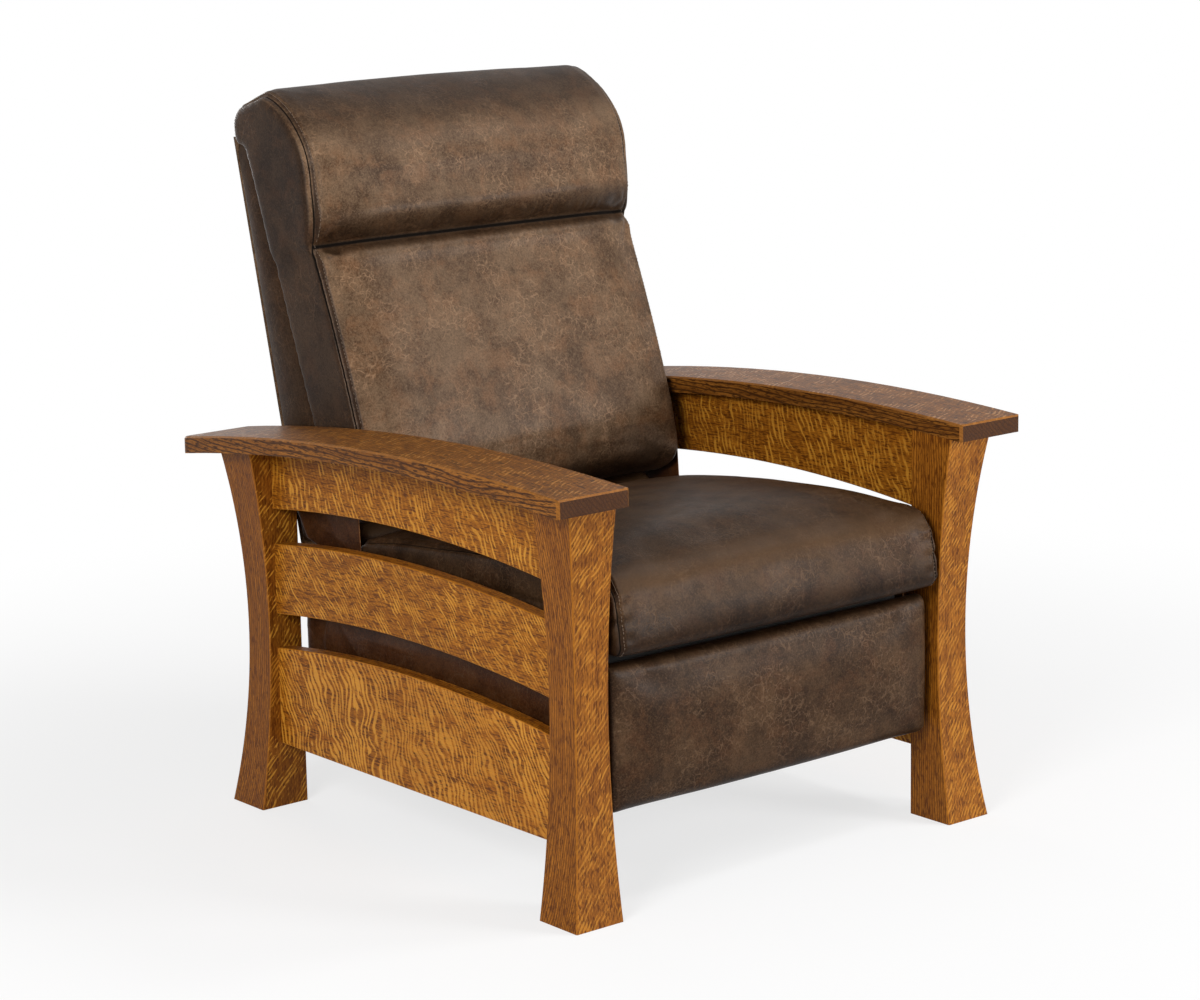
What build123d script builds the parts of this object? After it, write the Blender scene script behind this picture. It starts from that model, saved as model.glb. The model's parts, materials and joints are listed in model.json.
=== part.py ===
from build123d import *
import os
from math import acos, asin, atan2, cos, degrees, hypot, pi, radians, remainder, sin, sqrt

# A push-back recliner with bowed wooden arms, flared posts and three arched rails a side.
# Millimetres. +Z is up, the chair faces -Y, and X = 0 is its plane of symmetry.
# The origin lies on the floor, below the middle of the whole chair.
# Left and right are the sitter's own: left is +X, right is -X.
# Pieces of the pair are modelled on the left and mirrored to the right.

# Whole chair
overall_width = 889.0

# Arms
arm_width = 126.0
arm_length = 933.0
arm_thickness = 26.0
arm_front_height = 622.0
arm_rear_height = 580.5
arm_bow = 26.0
arm_edge_ease = 2.5
arm_corner_ease = 4.0
arm_rear_corner_round = 18.0

# Posts, hollowed on the outer side and on the face that looks away from the chair
post_width = 85.0
post_depth = 84.0
post_under_arm_inset = 37.5
post_setback = 24.0
post_side_hollow = 25.0
post_face_hollow = 25.0
post_edge_ease = 1.6

# Side rails between the posts
rail_length = 691.0
rail_thickness = 23.0
rail_inset = 40.0
rail_edge_ease = 1.2
rail_arch = 22.5
top_rail_rear_width = 98.1
upper_slot_height = 55.0
middle_rail_width = 111.0
lower_slot_height = 54.0
bottom_rail_low = 101.5

# Joinery
tenon_length = 15.0
tenon_thickness = 10.0
tenon_shoulder = 12.0
joint_clearance = 0.15
arm_tenon_length = 40.0
arm_tenon_width = 44.0
arm_tenon_thickness = 12.0

# Hardwood cleats on the bottom rails and the cross rail between them, which carry the mechanism
cleat_stand_in = 20.0
cleat_height = 60.0
cleat_low = 150.0
cleat_end_gap = 0.5
cross_rail_thickness = 22.0
cross_rail_rear_inset = 158.0
cross_tube_width = 22.0
cross_tube_wall = 2.0
cross_tube_height = 190.0
front_tube_setback = 458.0
rear_tube_setback = 620.0

# Covered side panels that stand on the cleats
side_panel_thickness = 14.5
side_panel_top = 366.0
side_panel_end_gap = 6.0
side_panel_post_gap = 1.0
side_panel_edge_ease = 4.0

# Steel plates and links: layers of one plate and one running gap, counted inwards
plate_thickness = 4.0
layer_gap = 1.0
link_eye_radius = 11.0
stud_radius = 4.0
stud_nut_radius = 7.5
stud_nut_height = 2.6
pivot_clearance = 0.06
running_gap = 0.25
base_plate_low = 165.0
base_plate_high = 245.0
base_plate_front_setback = 224.0
base_plate_rail_gap = 31.0
plate_corner_cut = 10.0

# Lift links between the base plates and the seat plates
lift_link_length = 95.0
lift_link_lean = 25.0
front_lift_setback = 279.0
front_lift_height = 230.0
rear_lift_hinge_inset = 157.0
rear_lift_height = 222.0

# Seat plates and the hinge of the back
seat_plate_front_setback = 136.0
seat_plate_low = 286.0
seat_plate_high = 352.0
seat_plate_hinge_inset = 26.0
hinge_setback = 686.0
hinge_height = 390.0
hinge_eye_radius = 15.0

# Footrest linkage, folded
footrest_pivot_setback = 154.0
footrest_pivot_height = 310.0
front_link_length = 225.0
heel_length = 40.0
front_link_fall = 39.2
front_link_sweep = 124.5
control_link_shift = 64.0
control_link_drop = 8.0
panel_pivot_setback = 119.0
panel_pivot_height = 52.0
panel_turn = 90.0
torque_tube_width = 17.0
torque_tube_wall = 1.5
torque_tube_reach = 70.0

# Footrest panel, folded
footrest_side_gap = 10.0
footrest_low = 143.0
footrest_high = 357.0
footrest_face_setback = 56.0
footrest_pad_thickness = 26.0
footrest_crown = 5.0
footrest_edge_ease = 10.0
footrest_end_tuck = 8.0
footrest_board_thickness = 16.0
footrest_board_margin = 8.0
bracket_low = 180.0
bracket_high = 312.0
bracket_depth = 33.0
bracket_flange = 25.0

# Seat frame, springs and cushion
seat_rail_thickness = 24.0
seat_rail_low = 328.0
seat_rail_high = 368.0
seat_rail_front_setback = 108.0
seat_rail_hinge_inset = 37.0
spring_count = 5
spring_turns = 7
spring_wire = 3.2
spring_half_width = 26.0
spring_bend = 16.0
spring_end_inset = 10.0
seat_side_gap = 7.0
seat_front_setback = 31.0
seat_hinge_inset = 31.0
seat_low = 372.0
seat_front_top = 496.0
seat_rear_top = 445.0
seat_side_crown = 19.0
seat_middle_crown = 13.0
seat_front_round = 46.0
seat_rear_ease = 12.0
seat_end_tuck = 12.0
seat_end_round = 16.0

# Back: heights run up the leaned rear cover, depths run forward from it
back_lean = 13.1
back_foot_hinge_depth = 177.78
back_foot_height = 591.0
rear_cover_top = 451.0
rear_cover_foot = -225.0
rear_cover_thickness = 8.0
rear_cover_side_gap = 17.0
stile_thickness = 21.0
stile_top = 440.0
stile_foot = -190.0
stile_depth_top = 42.0
stile_depth_foot = 122.0
back_rail_height = 45.0
back_rail_thickness = 24.0
back_middle_rail_low = 150.0
webbing_width = 50.0
webbing_thickness = 2.0
webbing_count = 5
back_side_gap = 9.0
crease_height = 254.0
crease_depth = 184.0
crease_gap = 1.0
lumbar_depth = 226.0
lumbar_height = -75.0
back_cushion_foot = -171.0
back_cushion_foot_round = 40.0
back_crown = 6.0
back_end_tuck = 10.0
back_end_round = 16.0
head_top = 515.0
head_depth = 204.0
head_depth_height = 345.0
head_rear_depth = 22.0
head_rear_height = 484.0
head_rear_ease = 16.0
head_cheek = 5.0
head_crown = 4.0
head_side_gap = 3.0
side_cover_end_gap = 1.0
side_cover_margin = 4.0
back_bracket_top = -60.0
back_bracket_width = 44.0
back_bracket_inset = 2.0

# Bolts that hold the base plates on the cleats
bolt_radius = 4.0
bolt_head_radius = 7.5
bolt_head_height = 4.5
bolt_length = 34.0
bolt_shares = (1 / 20, 3 / 4)
bolt_clearance = 0.2

# Positions that follow from the sizes above
lean_sin = sin(radians(back_lean))
lean_cos = cos(radians(back_lean))
overall_depth = hinge_setback + back_foot_hinge_depth + rear_cover_top * lean_sin
front_end = -overall_depth / 2
hinge = front_end + hinge_setback, hinge_height
arm_outer = overall_width / 2
arm_inner = arm_outer - arm_width
post_outer = arm_outer - post_under_arm_inset
post_inner = post_outer - post_width
footrest_half_width = post_inner - footrest_side_gap
seat_half_width = post_inner - seat_side_gap
back_half_width = post_inner - back_side_gap
head_half_width = post_inner - head_side_gap
rear_cover_half_width = post_inner - rear_cover_side_gap
post_front = front_end + post_setback
post_back = post_front + post_depth
rear_post_front = post_back + rail_length
rear_post_back = rear_post_front + post_depth
rail_outer = post_outer - rail_inset
rail_inner = rail_outer - rail_thickness
cleat_inner = post_inner - cleat_stand_in
cleat_high = cleat_low + cleat_height
layer_pitch = plate_thickness + layer_gap
base_layer = cleat_inner - plate_thickness
lift_layer = base_layer - layer_pitch
seat_layer = lift_layer - layer_pitch
front_layer = seat_layer - layer_pitch
upper_layer = front_layer - layer_pitch
control_layer = upper_layer - layer_pitch
hole_radius = stud_radius + pivot_clearance
right = Vector(1, 0, 0)


def polar(angle, length):
    """A step of a given length at an angle in the side view, from +Y towards +Z."""
    return length * cos(radians(angle)), length * sin(radians(angle))


def step(point, move):
    return point[0] + move[0], point[1] + move[1]


def between(start, end):
    return end[0] - start[0], end[1] - start[1]


def side_solid(face, x_low, thickness):
    """A side-view outline, drawn as (y, z), given a thickness towards +X."""
    return extrude(Plane.YZ.offset(x_low) * face, thickness, dir=right)


def block(x_span, y_span, z_span):
    corner = (x_span[0], y_span[0], z_span[0])
    size = (x_span[1] - x_span[0], y_span[1] - y_span[0], z_span[1] - z_span[0])
    return Pos(*corner) * Box(*size, align=(Align.MIN, Align.MIN, Align.MIN))


def disc(point, radius, x_low, x_high):
    return side_solid(Pos(*point) * Circle(radius), x_low, x_high - x_low)


def hexagon(point, radius, x_low, x_high):
    return side_solid(Pos(*point) * RegularPolygon(radius, 6), x_low, x_high - x_low)


def mirrored(solid):
    return mirror(solid, about=Plane.YZ)


def group(solids):
    return Compound([piece for solid in solids for piece in solid.solids()])


def both_sides(solids):
    return group(solids + [mirrored(solid) for solid in solids])


nodes = {}


def pair(name, solid):
    nodes[name + "_left"] = solid
    nodes[name + "_right"] = mirrored(solid)


# Arms: one arc on top and a concentric one below, cut off upright at both ends
arm_rear_end = front_end + arm_length
arm_chord = hypot(arm_length, arm_front_height - arm_rear_height)
arm_radius = (arm_chord**2 / 4 + arm_bow**2) / (2 * arm_bow)
arm_fall = asin((arm_front_height - arm_rear_height) / arm_chord)
arm_centre_y = (front_end + arm_rear_end) / 2 - (arm_radius - arm_bow) * sin(arm_fall)
arm_centre_z = (arm_front_height + arm_rear_height) / 2 - (arm_radius - arm_bow) * cos(arm_fall)


def arm_top_at(y):
    return arm_centre_z + sqrt(arm_radius**2 - (y - arm_centre_y) ** 2)


def arm_under_at(y):
    return arm_centre_z + sqrt((arm_radius - arm_thickness) ** 2 - (y - arm_centre_y) ** 2)


def arc_over(height_at, y_low, y_high):
    middle = (y_low + y_high) / 2
    ends = (y_low, height_at(y_low)), (y_high, height_at(y_high))
    return ThreePointArc(ends[0], (middle, height_at(middle)), ends[1])


def outline(*curves):
    """A face closed by straight lines from each curve's end to the next one's start."""
    edges = list(curves)
    for curve, following in zip(curves, curves[1:] + curves[:1]):
        if (curve @ 1 - following @ 0).length > joint_clearance:
            edges.append(Line(curve @ 1, following @ 0))
    return make_face(edges)


def arm():
    top = arc_over(arm_top_at, front_end, arm_rear_end)
    under = arc_over(arm_under_at, arm_rear_end, front_end)
    body = side_solid(outline(top, under), arm_inner, arm_width)
    uprights = body.edges().filter_by(Axis.Z)
    rear_outer = uprights.sort_by(Axis.Y)[-2:].sort_by(Axis.X)[-1]
    body = fillet(rear_outer, arm_rear_corner_round)
    top_face = body.faces().sort_by(Axis.Z)[-1]
    body = chamfer(top_face.edges(), arm_edge_ease)
    middle_x = (arm_inner + arm_outer) / 2
    middle_y = (front_end + arm_rear_end) / 2
    corners = [edge for edge in body.edges().filter_by(Axis.Z)
               if abs(abs(edge.center().X - middle_x) - arm_width / 2) < joint_clearance
               and abs(abs(edge.center().Y - middle_y) - arm_length / 2) < joint_clearance]
    return chamfer(corners, arm_corner_ease)


# Edges of the side rails, counted down from the arm
top_rail_low = arm_under_at(rear_post_front) - top_rail_rear_width
middle_rail_high = top_rail_low - upper_slot_height
middle_rail_low = middle_rail_high - middle_rail_width
bottom_rail_high = middle_rail_low - lower_slot_height


# Posts: the side view and the front view cut one another
def post(y_front, y_back, face_y, face_turn):
    """face_y is the hollowed face's place at floor and arm, face_turn its way in."""
    other_y = y_front + y_back - face_y
    top = arm_under_at(face_y)
    hollow = ThreePointArc((face_y, 0), (face_y + face_turn * post_face_hollow, top / 2), (face_y, top))
    under_arm = arc_over(arm_under_at, face_y, other_y)
    profile = outline(hollow, under_arm, Line((other_y, arm_under_at(other_y)), (other_y, 0)))
    side_view = side_solid(profile, post_inner, post_width)
    high = max(top, arm_under_at(other_y))
    flare = ThreePointArc((post_outer, 0), (post_outer - post_side_hollow, high / 2), (post_outer, high))
    front_face = outline(flare, Line((post_inner, high), (post_inner, 0)))
    front_view = extrude(Plane.XZ.offset(-y_back) * front_face, y_back - y_front, dir=Vector(0, -1, 0))
    body = side_view & front_view
    corners = [edge for edge in body.edges()
               if edge.bounding_box().size.Z > post_width]
    return chamfer(corners, post_edge_ease)


# Side rails: (y, z) outlines with arched edges, and a tenon at each end
def arch(z_end):
    middle = (post_back + rear_post_front) / 2
    ends = (post_back, z_end), (rear_post_front, z_end)
    return ThreePointArc(ends[0], (middle, z_end + rail_arch), ends[1])


def arch_back(z_end):
    middle = (post_back + rear_post_front) / 2
    ends = (rear_post_front, z_end), (post_back, z_end)
    return ThreePointArc(ends[0], (middle, z_end + rail_arch), ends[1])


def tenons(z_low, z_front, z_rear, play):
    """The tenons of one rail, or with some play, the mortises that take them."""
    middle = (rail_outer + rail_inner) / 2
    half = tenon_thickness / 2 + play
    x_span = middle - half, middle + half
    low = z_low + tenon_shoulder - play
    reach = tenon_length + play
    front = block(x_span, (post_back - reach, post_back), (low, z_front - tenon_shoulder + play))
    rear = block(x_span, (rear_post_front, rear_post_front + reach), (low, z_rear - tenon_shoulder + play))
    return front, rear


rail_ends = {
    "bottom_rail": (bottom_rail_low, bottom_rail_high, bottom_rail_high),
    "middle_rail": (middle_rail_low, middle_rail_high, middle_rail_high),
    "top_rail": (top_rail_low, arm_under_at(post_back), arm_under_at(rear_post_front)),
}
rail_faces = {
    "bottom_rail": outline(arch(bottom_rail_high),
                           Line((rear_post_front, bottom_rail_low), (post_back, bottom_rail_low))),
    "middle_rail": outline(arch(middle_rail_high), arch_back(middle_rail_low)),
    "top_rail": outline(arc_over(arm_under_at, post_back, rear_post_front), arch_back(top_rail_low)),
}


def rail(name):
    body = side_solid(rail_faces[name], rail_inner, rail_thickness)
    long_edges = [edge for edge in body.edges() if edge.length > rail_length / 2]
    if name == "top_rail":
        long_edges = [edge for edge in long_edges if edge.center().Z < arm_rear_height - arm_thickness]
    body = chamfer(long_edges, rail_edge_ease)
    front, rear = tenons(*rail_ends[name], 0)
    return body + front + rear


# Loose tenons that hold each arm on its posts, or with some play, the mortises that take them
def arm_tenons(play):
    x_middle = (post_inner + post_outer) / 2
    x_half = arm_tenon_thickness / 2 + play
    y_half = arm_tenon_width / 2 + play
    z_half = arm_tenon_length / 2 + play
    places = (post_front + post_back) / 2, (rear_post_front + rear_post_back) / 2
    return [block((x_middle - x_half, x_middle + x_half), (y - y_half, y + y_half),
                  (arm_under_at(y) - z_half, arm_under_at(y) + z_half)) for y in places]


# Bolts along X: the head lies on the base plate and the shank runs into the cleat
def bolt(point):
    shank = disc(point, bolt_radius, base_layer, base_layer + bolt_length)
    return shank + hexagon(point, bolt_head_radius, base_layer - bolt_head_height, base_layer)


def bolt_hole(point):
    reach = bolt_length + bolt_clearance
    return disc(point, bolt_radius + bolt_clearance, base_layer - bolt_clearance, base_layer + reach)


cleat_middle = cleat_low + cleat_height / 2
cross_rail_y = rear_post_back - cross_rail_rear_inset
base_front = front_end + base_plate_front_setback
base_rear = cross_rail_y - base_plate_rail_gap
bolt_places = [(base_front + (base_rear - base_front) * share, cleat_middle) for share in bolt_shares]
bolt_holes = [bolt_hole(point) for point in bolt_places]

front_post = post(post_front, post_back, post_front, 1)
rear_post = post(rear_post_front, rear_post_back, rear_post_back, -1)
for name in rail_ends:
    front_mortise, rear_mortise = tenons(*rail_ends[name], joint_clearance)
    front_post -= front_mortise
    rear_post -= rear_mortise
arm_mortises = arm_tenons(joint_clearance)
pair("front_post", front_post - arm_mortises[0])
pair("rear_post", rear_post - arm_mortises[1])
pair("arm", arm() - arm_mortises)
for name in rail_ends:
    pair(name, rail(name))
nodes["arm_tenons"] = both_sides(arm_tenons(0))

# Cleats, the cross rail between them, and the covered side panels above them
cleat = block((cleat_inner, rail_inner), (post_back + cleat_end_gap, rear_post_front - cleat_end_gap),
              (cleat_low, cleat_high))
pair("mounting_cleat", cleat - bolt_holes)
nodes["rear_cross_rail"] = block(
    (-cleat_inner, cleat_inner), (cross_rail_y, cross_rail_y + cross_rail_thickness), (cleat_low, cleat_high))
panel_x = post_inner - side_panel_post_gap - side_panel_thickness
side_panel = block((panel_x, panel_x + side_panel_thickness),
                   (post_back + side_panel_end_gap, rear_post_front - side_panel_end_gap),
                   (cleat_high, side_panel_top))
pair("side_panel", chamfer(side_panel.faces().sort_by(Axis.Z)[-1].edges(), side_panel_edge_ease))


# Flat steel: plates with cut corners, and eyes joined by bars of the same width
def flat_plate(y_span, z_span):
    centre = (y_span[0] + y_span[1]) / 2, (z_span[0] + z_span[1]) / 2
    plain = Rectangle(y_span[1] - y_span[0], z_span[1] - z_span[0])
    return Pos(*centre) * chamfer(plain.vertices(), plate_corner_cut)


def bar(start, end, radius):
    reach = between(start, end)
    middle = (start[0] + end[0]) / 2, (start[1] + end[1]) / 2
    slot = SlotCenterToCenter(hypot(*reach), 2 * radius, rotation=degrees(atan2(reach[1], reach[0])))
    return Pos(*middle) * slot


def holes(points):
    return [Pos(*point) * Circle(hole_radius) for point in points]


def link(x_low, points, bored):
    shape = bar(points[0], points[1], link_eye_radius)
    for start, end in zip(points[1:], points[2:]):
        shape += bar(start, end, link_eye_radius)
    return side_solid(shape - holes(bored), x_low, plate_thickness)


# Studs, welded on the plate that carries them: a pin through the link beside it, and a nut
def stud_in(point, carrier, link_layer):
    tip = link_layer - running_gap
    nut = hexagon(point, stud_nut_radius, tip - stud_nut_height, tip)
    return disc(point, stud_radius, tip, carrier) + nut


def stud_out(point, carrier, link_layer):
    tip = link_layer + plate_thickness + running_gap
    nut = hexagon(point, stud_nut_radius, tip, tip + stud_nut_height)
    return disc(point, stud_radius, carrier + plate_thickness, tip) + nut


# Lift links: equal and parallel, so the seat glides without tipping
front_lift_foot = front_end + front_lift_setback, front_lift_height
rear_lift_foot = hinge[0] - rear_lift_hinge_inset, rear_lift_height
lift_reach = polar(90 - lift_link_lean, lift_link_length)
front_lift_head = step(front_lift_foot, lift_reach)
rear_lift_head = step(rear_lift_foot, lift_reach)
front_lift = link(lift_layer, (front_lift_foot, front_lift_head), (front_lift_foot, front_lift_head))
rear_lift = link(lift_layer, (rear_lift_foot, rear_lift_head), (rear_lift_foot, rear_lift_head))
nodes["front_lift_links"] = both_sides([front_lift])
nodes["rear_lift_links"] = both_sides([rear_lift])

base_face = flat_plate((base_front, base_rear), (base_plate_low, base_plate_high))
pair("base_plate", side_solid(base_face, base_layer, plate_thickness) - bolt_holes)
nodes["base_studs"] = both_sides(
    [stud_in(point, base_layer, lift_layer) for point in (front_lift_foot, rear_lift_foot)])
nodes["base_plate_bolts"] = both_sides([bolt(point) for point in bolt_places])


def tube(point, turn, width, wall, half_length):
    bore = width - 2 * wall
    walls = Rectangle(width, width, rotation=turn) - Rectangle(bore, bore, rotation=turn)
    return side_solid(Pos(*point) * walls, -half_length, 2 * half_length)


nodes["base_cross_tubes"] = group(
    [tube((front_end + setback, cross_tube_height), 0, cross_tube_width, cross_tube_wall, base_layer)
     for setback in (front_tube_setback, rear_tube_setback)])

# Footrest linkage, folded. The front and control links are equal and parallel, so the
# upper link travels without turning; the lower link turns the panel.
front_pivot = front_end + footrest_pivot_setback, footrest_pivot_height
control_shift = control_link_shift, -control_link_drop
control_pivot = step(front_pivot, control_shift)
front_link_angles = -front_link_fall, -front_link_fall - front_link_sweep
cross_pivots = [step(front_pivot, polar(angle, front_link_length)) for angle in front_link_angles]
cross_pivot = cross_pivots[0]
control_end = step(cross_pivot, control_shift)
panel_pivot_y = front_end + panel_pivot_setback
panel_drop = front_link_length**2 - (panel_pivot_y - cross_pivot[0]) ** 2
panel_pivot = panel_pivot_y, cross_pivot[1] + sqrt(panel_drop)
panel_pivots = [step(pivot, between(cross_pivot, panel_pivot)) for pivot in cross_pivots]
panel_ends = [step(panel_pivots[0], polar(-90, panel_pivot_height)),
              step(panel_pivots[1], polar(-90 - panel_turn, panel_pivot_height))]
panel_end = panel_ends[0]


def heel_bend():
    """The heel's angle from its link that keeps the lower link one length, folded and open."""
    reaches = [between(pivot, end) for pivot, end in zip(cross_pivots, panel_ends)]
    lengths = [hypot(*reach) for reach in reaches]
    turns = [atan2(reach[1], reach[0]) - radians(angle) for reach, angle in zip(reaches, front_link_angles)]
    along = lengths[0] * cos(turns[0]) - lengths[1] * cos(turns[1])
    across = lengths[0] * sin(turns[0]) - lengths[1] * sin(turns[1])
    wanted = (lengths[0] ** 2 - lengths[1] ** 2) / (2 * heel_length)
    spread = acos(wanted / hypot(along, across))
    bends = [degrees(remainder(atan2(across, along) + turn, 2 * pi)) for turn in (-spread, spread)]
    return min(bends)


heels = [step(pivot, polar(angle + heel_bend(), heel_length))
         for pivot, angle in zip(cross_pivots, front_link_angles)]
heel = heels[0]
lower_angles = [degrees(atan2(*reversed(between(start, end)))) for start, end in zip(heels, panel_ends)]

pair("front_footrest_link", link(front_layer, (front_pivot, cross_pivot, heel), (front_pivot,)))
pair("upper_footrest_link", link(upper_layer, (panel_pivot, cross_pivot, control_end),
                                 (panel_pivot, cross_pivot)))
pair("control_footrest_link", link(control_layer, (control_pivot, control_end), (control_pivot, control_end)))
lower_link = link(seat_layer, (heel, panel_end), (heel,))
lower_nut_seat = seat_layer + plate_thickness
pair("lower_footrest_link", lower_link + hexagon(panel_end, stud_nut_radius, lower_nut_seat,
                                                 lower_nut_seat + stud_nut_height))
torque_place = step(front_pivot, polar(-front_link_fall, torque_tube_reach))
nodes["footrest_torque_tube"] = tube(torque_place, -front_link_fall, torque_tube_width,
                                     torque_tube_wall, front_layer)
nodes["front_link_studs"] = both_sides(
    [stud_in(cross_pivot, front_layer, upper_layer), stud_out(heel, front_layer, seat_layer)])
nodes["upper_link_studs"] = both_sides([stud_in(control_end, upper_layer, control_layer)])

# Footrest: steel brackets, a board and its pad
panel_face = front_end + footrest_face_setback
board_front = panel_face + footrest_pad_thickness
board_back = board_front + footrest_board_thickness
board_half = footrest_half_width - footrest_board_margin
nodes["footrest_board"] = block((-board_half, board_half), (board_front, board_back),
                                (footrest_low + footrest_board_margin, footrest_high - footrest_board_margin))
bracket_middle = board_back + bracket_depth / 2, (bracket_low + bracket_high) / 2
web_face = Pos(*bracket_middle) * Rectangle(bracket_depth, bracket_high - bracket_low)
web_corners = web_face.vertices().sort_by(Axis.X)[-2:]
web = side_solid(chamfer(web_corners, plate_corner_cut), front_layer, plate_thickness)
flange = block((front_layer + plate_thickness - bracket_flange, front_layer + plate_thickness),
               (board_back, board_back + plate_thickness), (bracket_low, bracket_high))
bracket_nut = hexagon(panel_end, stud_nut_radius, front_layer - stud_nut_height, front_layer)
pair("footrest_bracket", web + flange + bracket_nut)
nodes["footrest_studs"] = both_sides([stud_in(panel_pivot, front_layer, upper_layer)])


# Padded forms: a side-view outline carried across the chair, tucked in at both ends, crowned between
tuck_shares = (0, 1 / 2, 1)
crown_shares = (1 / 2, 0)


def padded(face_at, half_width, tuck, round_width, crown, plane=Plane.YZ):
    """face_at(grow) draws the outline with its soft sides moved out by grow."""
    flat = half_width - round_width
    stations = [(half_width - round_width * share, -tuck * (1 - share) ** 2) for share in tuck_shares]
    stations += [(flat * share, crown * (1 - share**2)) for share in crown_shares]
    stations += [(-x, grow) for x, grow in reversed(stations[:-1])]
    return loft([plane.offset(x) * face_at(grow) for x, grow in stations], ruled=True)


def footrest_face(grow):
    front = panel_face - grow
    low = footrest_low - min(grow, 0) / 2
    high = footrest_high + min(grow, 0) / 2
    turn = footrest_edge_ease
    return make_face(Polyline(
        (board_front, low), (front + turn, low), (front, low + turn), (front, high - turn),
        (front + turn, high), (board_front, high), close=True))


nodes["footrest_cushion"] = padded(footrest_face, footrest_half_width, footrest_end_tuck,
                                   footrest_edge_ease, footrest_crown)

# Seat plates and their studs; the control link's stud stands on a hexagonal spacer
plate_front = front_end + seat_plate_front_setback
plate_rear = hinge[0] - seat_plate_hinge_inset
plate_face = flat_plate((plate_front, plate_rear), (seat_plate_low, seat_plate_high))
plate_tail = plate_rear - hinge_eye_radius - plate_corner_cut, seat_plate_low + hinge_eye_radius
plate_face += bar(plate_tail, hinge, hinge_eye_radius)
pair("seat_plate", side_solid(plate_face, seat_layer, plate_thickness))
control_spacer = control_layer + plate_thickness + running_gap
seat_studs = [
    stud_in(front_pivot, seat_layer, front_layer),
    stud_in(control_pivot, control_spacer, control_layer)
    + hexagon(control_pivot, stud_nut_radius, control_spacer, seat_layer),
    stud_out(front_lift_head, seat_layer, lift_layer),
    stud_out(rear_lift_head, seat_layer, lift_layer),
    stud_in(hinge, seat_layer, front_layer),
]
nodes["seat_studs"] = both_sides(seat_studs)

# Seat frame
rail_front = front_end + seat_rail_front_setback
rail_rear = hinge[0] - seat_rail_hinge_inset
seat_rail_inner = seat_layer - seat_rail_thickness
seat_rail = block((seat_rail_inner, seat_layer), (rail_front, rail_rear), (seat_rail_low, seat_rail_high))
pair("seat_side_rail", seat_rail)
cross_rails = [block((-seat_rail_inner, seat_rail_inner), (y, y + seat_rail_thickness),
                     (seat_rail_low, seat_rail_high))
               for y in (rail_front, rail_rear - seat_rail_thickness)]
nodes["seat_cross_rails"] = group(cross_rails)

# Zigzag springs, clipped on the cross rails' top faces
spring_start = rail_front + spring_end_inset
spring_pitch = (rail_rear - spring_end_inset - spring_start) / spring_turns
spring_level = seat_rail_high + spring_wire / 2


def spring(x):
    points = [(x + spring_half_width, spring_start)]
    for turn in range(spring_turns):
        side = spring_half_width if turn % 2 else -spring_half_width
        y = spring_start + turn * spring_pitch
        points += [(x + side * (1 - spring_bend / spring_half_width), y), (x + side, y + spring_bend),
                   (x + side, y + spring_pitch - spring_bend),
                   (x + side * (1 - spring_bend / spring_half_width), y + spring_pitch)]
    points.append((x - side, spring_start + spring_turns * spring_pitch))
    path = Polyline([(point[0], point[1], spring_level) for point in points])
    section = Plane(path @ 0, x_dir=(0, 0, 1), z_dir=path % 0) * Rectangle(spring_wire, spring_wire)
    return sweep(section, path, transition=Transition.RIGHT)


spring_spacing = 2 * seat_rail_inner / spring_count
spring_places = [spring_spacing * (index - (spring_count - 1) / 2) for index in range(spring_count)]
nodes["seat_springs"] = group([spring(x) for x in spring_places])


# Seat cushion: a rolled front, a crowned top that falls to the rear, and a flat underside
def seat_face(grow):
    front = front_end + seat_front_setback - grow / 3
    rear = hinge[0] - seat_hinge_inset
    low = seat_low - min(grow, 0) / 4
    front_top = seat_front_top + grow
    rear_top = seat_rear_top + grow / 2
    turn = seat_front_round
    bend = turn * (1 - sqrt(1 / 2))
    small = seat_rear_ease
    middle = front + (rear - front) / 2, (front_top + rear_top) / 2 + seat_side_crown
    return make_face([
        Line((rear, low), (front + small, low)),
        Line((front + small, low), (front, low + small)),
        Line((front, low + small), (front, front_top - turn)),
        ThreePointArc((front, front_top - turn), (front + bend, front_top - bend), (front + turn, front_top)),
        ThreePointArc((front + turn, front_top), middle, (rear - small, rear_top)),
        Line((rear - small, rear_top), (rear, rear_top - small)),
        Line((rear, rear_top - small), (rear, low)),
    ])


nodes["seat_cushion"] = padded(seat_face, seat_half_width, seat_end_tuck, seat_end_round, seat_middle_crown)

# Back: outlines are drawn as (depth forward, height up) on the leaned plane
back_foot_y = hinge[0] + back_foot_hinge_depth
back_forward = 0, -lean_cos, lean_sin
back_plane = Plane(origin=(0, back_foot_y, back_foot_height), x_dir=back_forward, z_dir=(-1, 0, 0))


def back_solid(face, x_low, x_high):
    return extrude(back_plane.offset(-x_low) * face, x_high - x_low, dir=right)


def stile_depth_at(height):
    share = (height - stile_foot) / (stile_top - stile_foot)
    return stile_depth_foot + (stile_depth_top - stile_depth_foot) * share


def back_box(low_depth, high_depth, low, high):
    return make_face(Polyline((low_depth, low), (high_depth, low), (high_depth, high),
                              (low_depth, high), close=True))


def along_stile(low, high, start, thickness):
    """A strip that lies along the stiles' slanted front edges."""
    low_depth = stile_depth_at(low) + start
    high_depth = stile_depth_at(high) + start
    return make_face(Polyline((low_depth, low), (low_depth + thickness, low),
                              (high_depth + thickness, high), (high_depth, high), close=True))


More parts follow.
